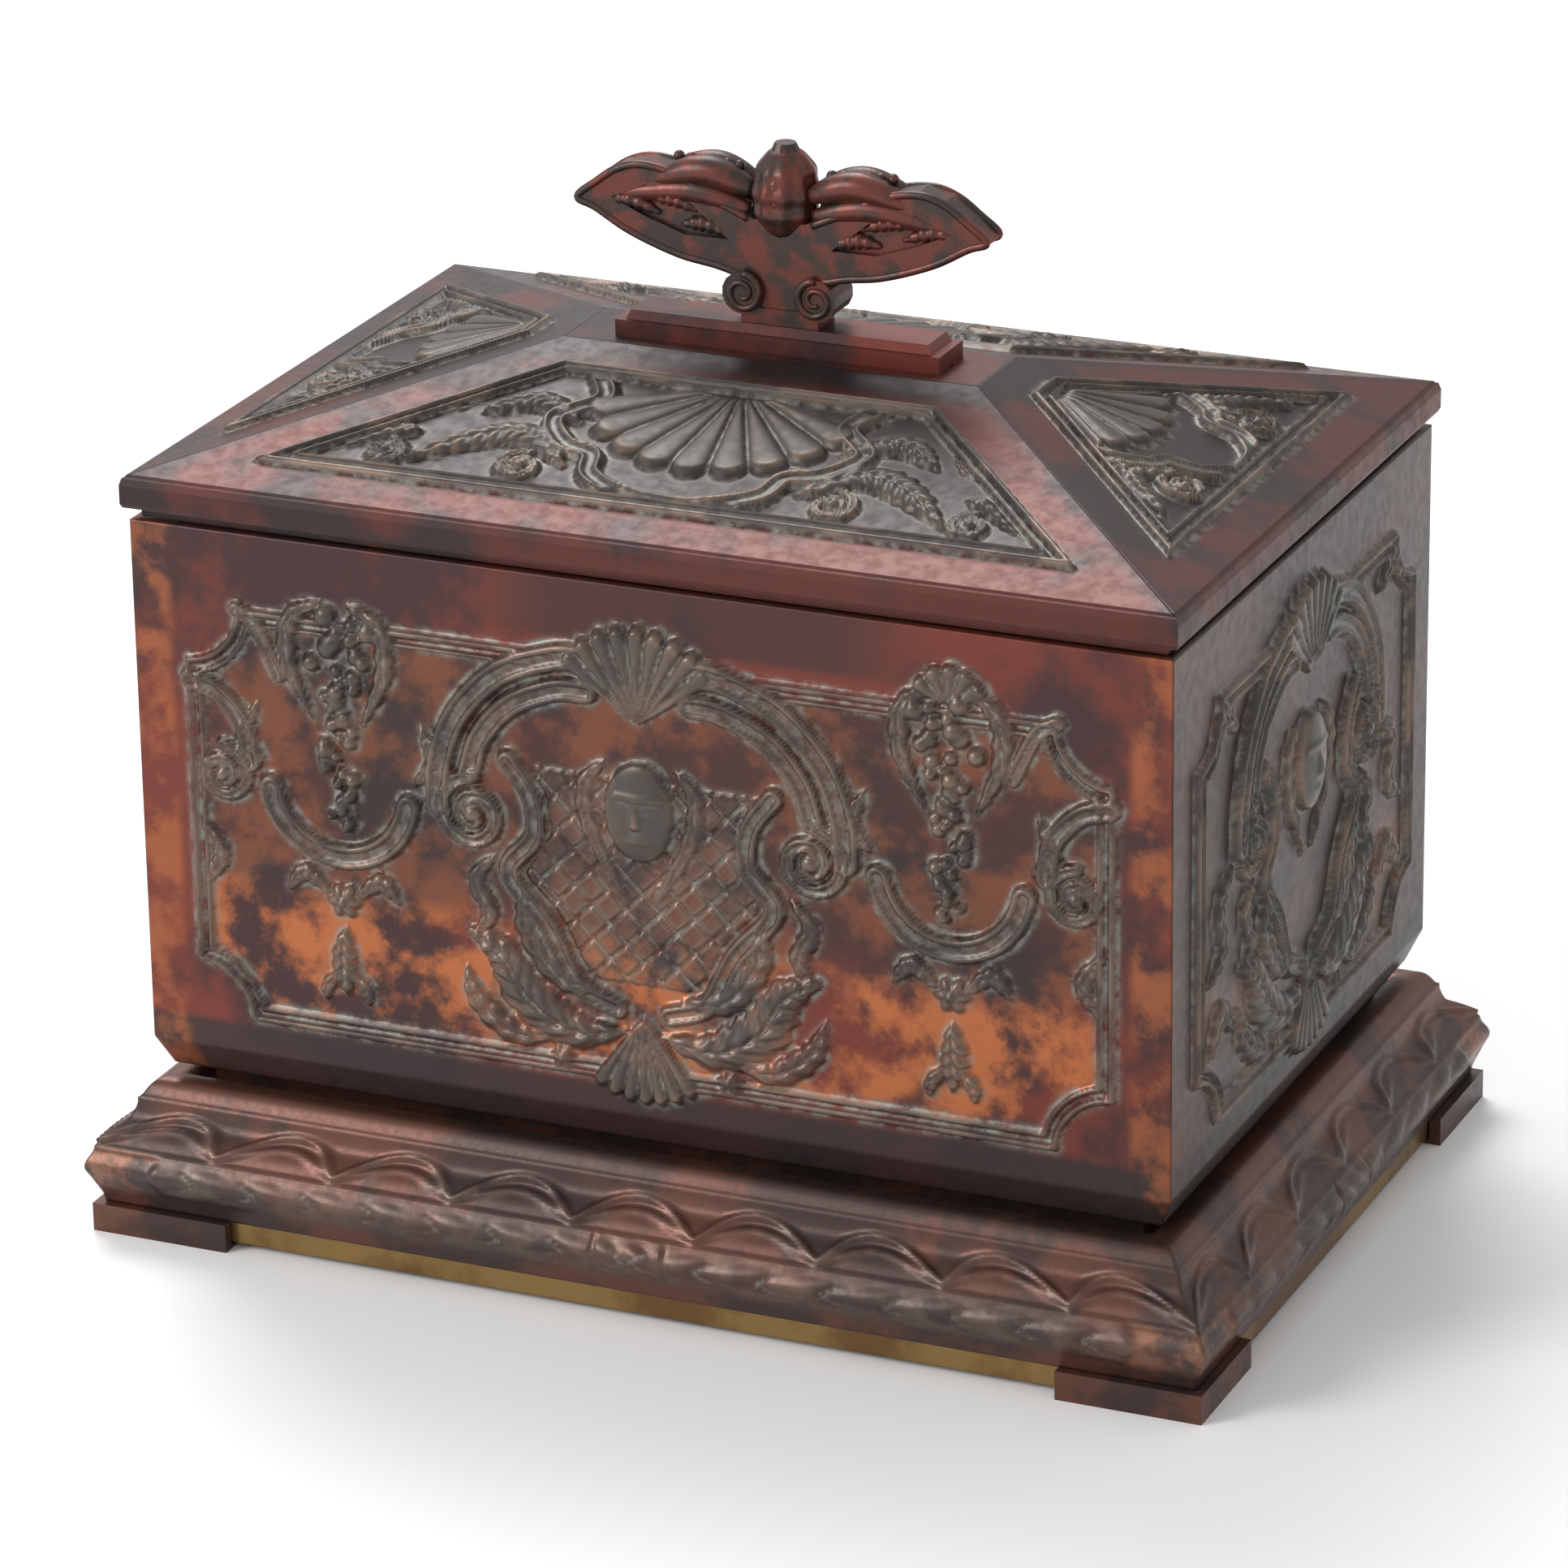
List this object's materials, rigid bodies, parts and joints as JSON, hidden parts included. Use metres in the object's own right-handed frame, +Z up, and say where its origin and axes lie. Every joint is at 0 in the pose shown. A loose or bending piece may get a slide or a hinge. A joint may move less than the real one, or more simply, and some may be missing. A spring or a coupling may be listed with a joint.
{
  "type": "jewellery box",
  "caption": "Rectangular cast metal jewellery casket with a hinged hipped lid, winged handle, moulded plinth, bracket feet and a fabric-lined interior.",
  "frame": {"origin": "centre of the bounding box's bottom, on the plane that the feet stand on", "axes": "+X along the length to the right as seen from the front, +Y to the back where the hinges are, +Z up"},
  "size_m": [0.1778, 0.1254, 0.1596],
  "materials": {
    "red_bronze": "satin",
    "dark_bronze": "satin",
    "brass": "polished",
    "steel": "satin",
    "velvet": "matte"
  },
  "bodies": {
    "base": {"base_plate": "dark_bronze", "base_rim": "brass", "base_screw_1": "steel", "base_screw_2": "steel", "base_screw_3": "steel", "base_screw_4": "steel", "body_floor": "dark_bronze", "foot_back_left": "dark_bronze", "foot_back_right": "dark_bronze", "foot_front_left": "dark_bronze", "foot_front_right": "dark_bronze", "hinge_body_leaf_left": "brass", "hinge_body_leaf_right": "brass", "hinge_pin_left": "steel", "hinge_pin_right": "steel", "lining_back": "velvet", "lining_cushion": "velvet", "lining_front": "velvet", "lining_left": "velvet", "lining_right": "velvet", "neck_frame": "dark_bronze", "plinth_moulding": "dark_bronze", "rivet_body_left_1": "brass", "rivet_body_left_2": "brass", "rivet_body_right_1": "brass", "rivet_body_right_2": "brass", "wall_back": "red_bronze", "wall_front": "red_bronze", "wall_left": "red_bronze", "wall_right": "red_bronze"},
    "lid": {"handle_grip": "dark_bronze", "handle_nut": "steel", "handle_plate": "red_bronze", "handle_stud": "steel", "handle_washer": "steel", "hinge_lid_leaf_left": "brass", "hinge_lid_leaf_right": "brass", "lid_lining": "velvet", "lid_shell": "red_bronze", "rivet_lid_left_1": "brass", "rivet_lid_left_2": "brass", "rivet_lid_right_1": "brass", "rivet_lid_right_2": "brass"}
  },
  "joints": [
    {"name": "lid_hinge", "type": "hinge", "parent": "base", "child": "lid", "pos_m": [0, 0.0569, 0.11085], "axis": [-1, 0, 0], "range_deg": [0, 95]}
  ]
}
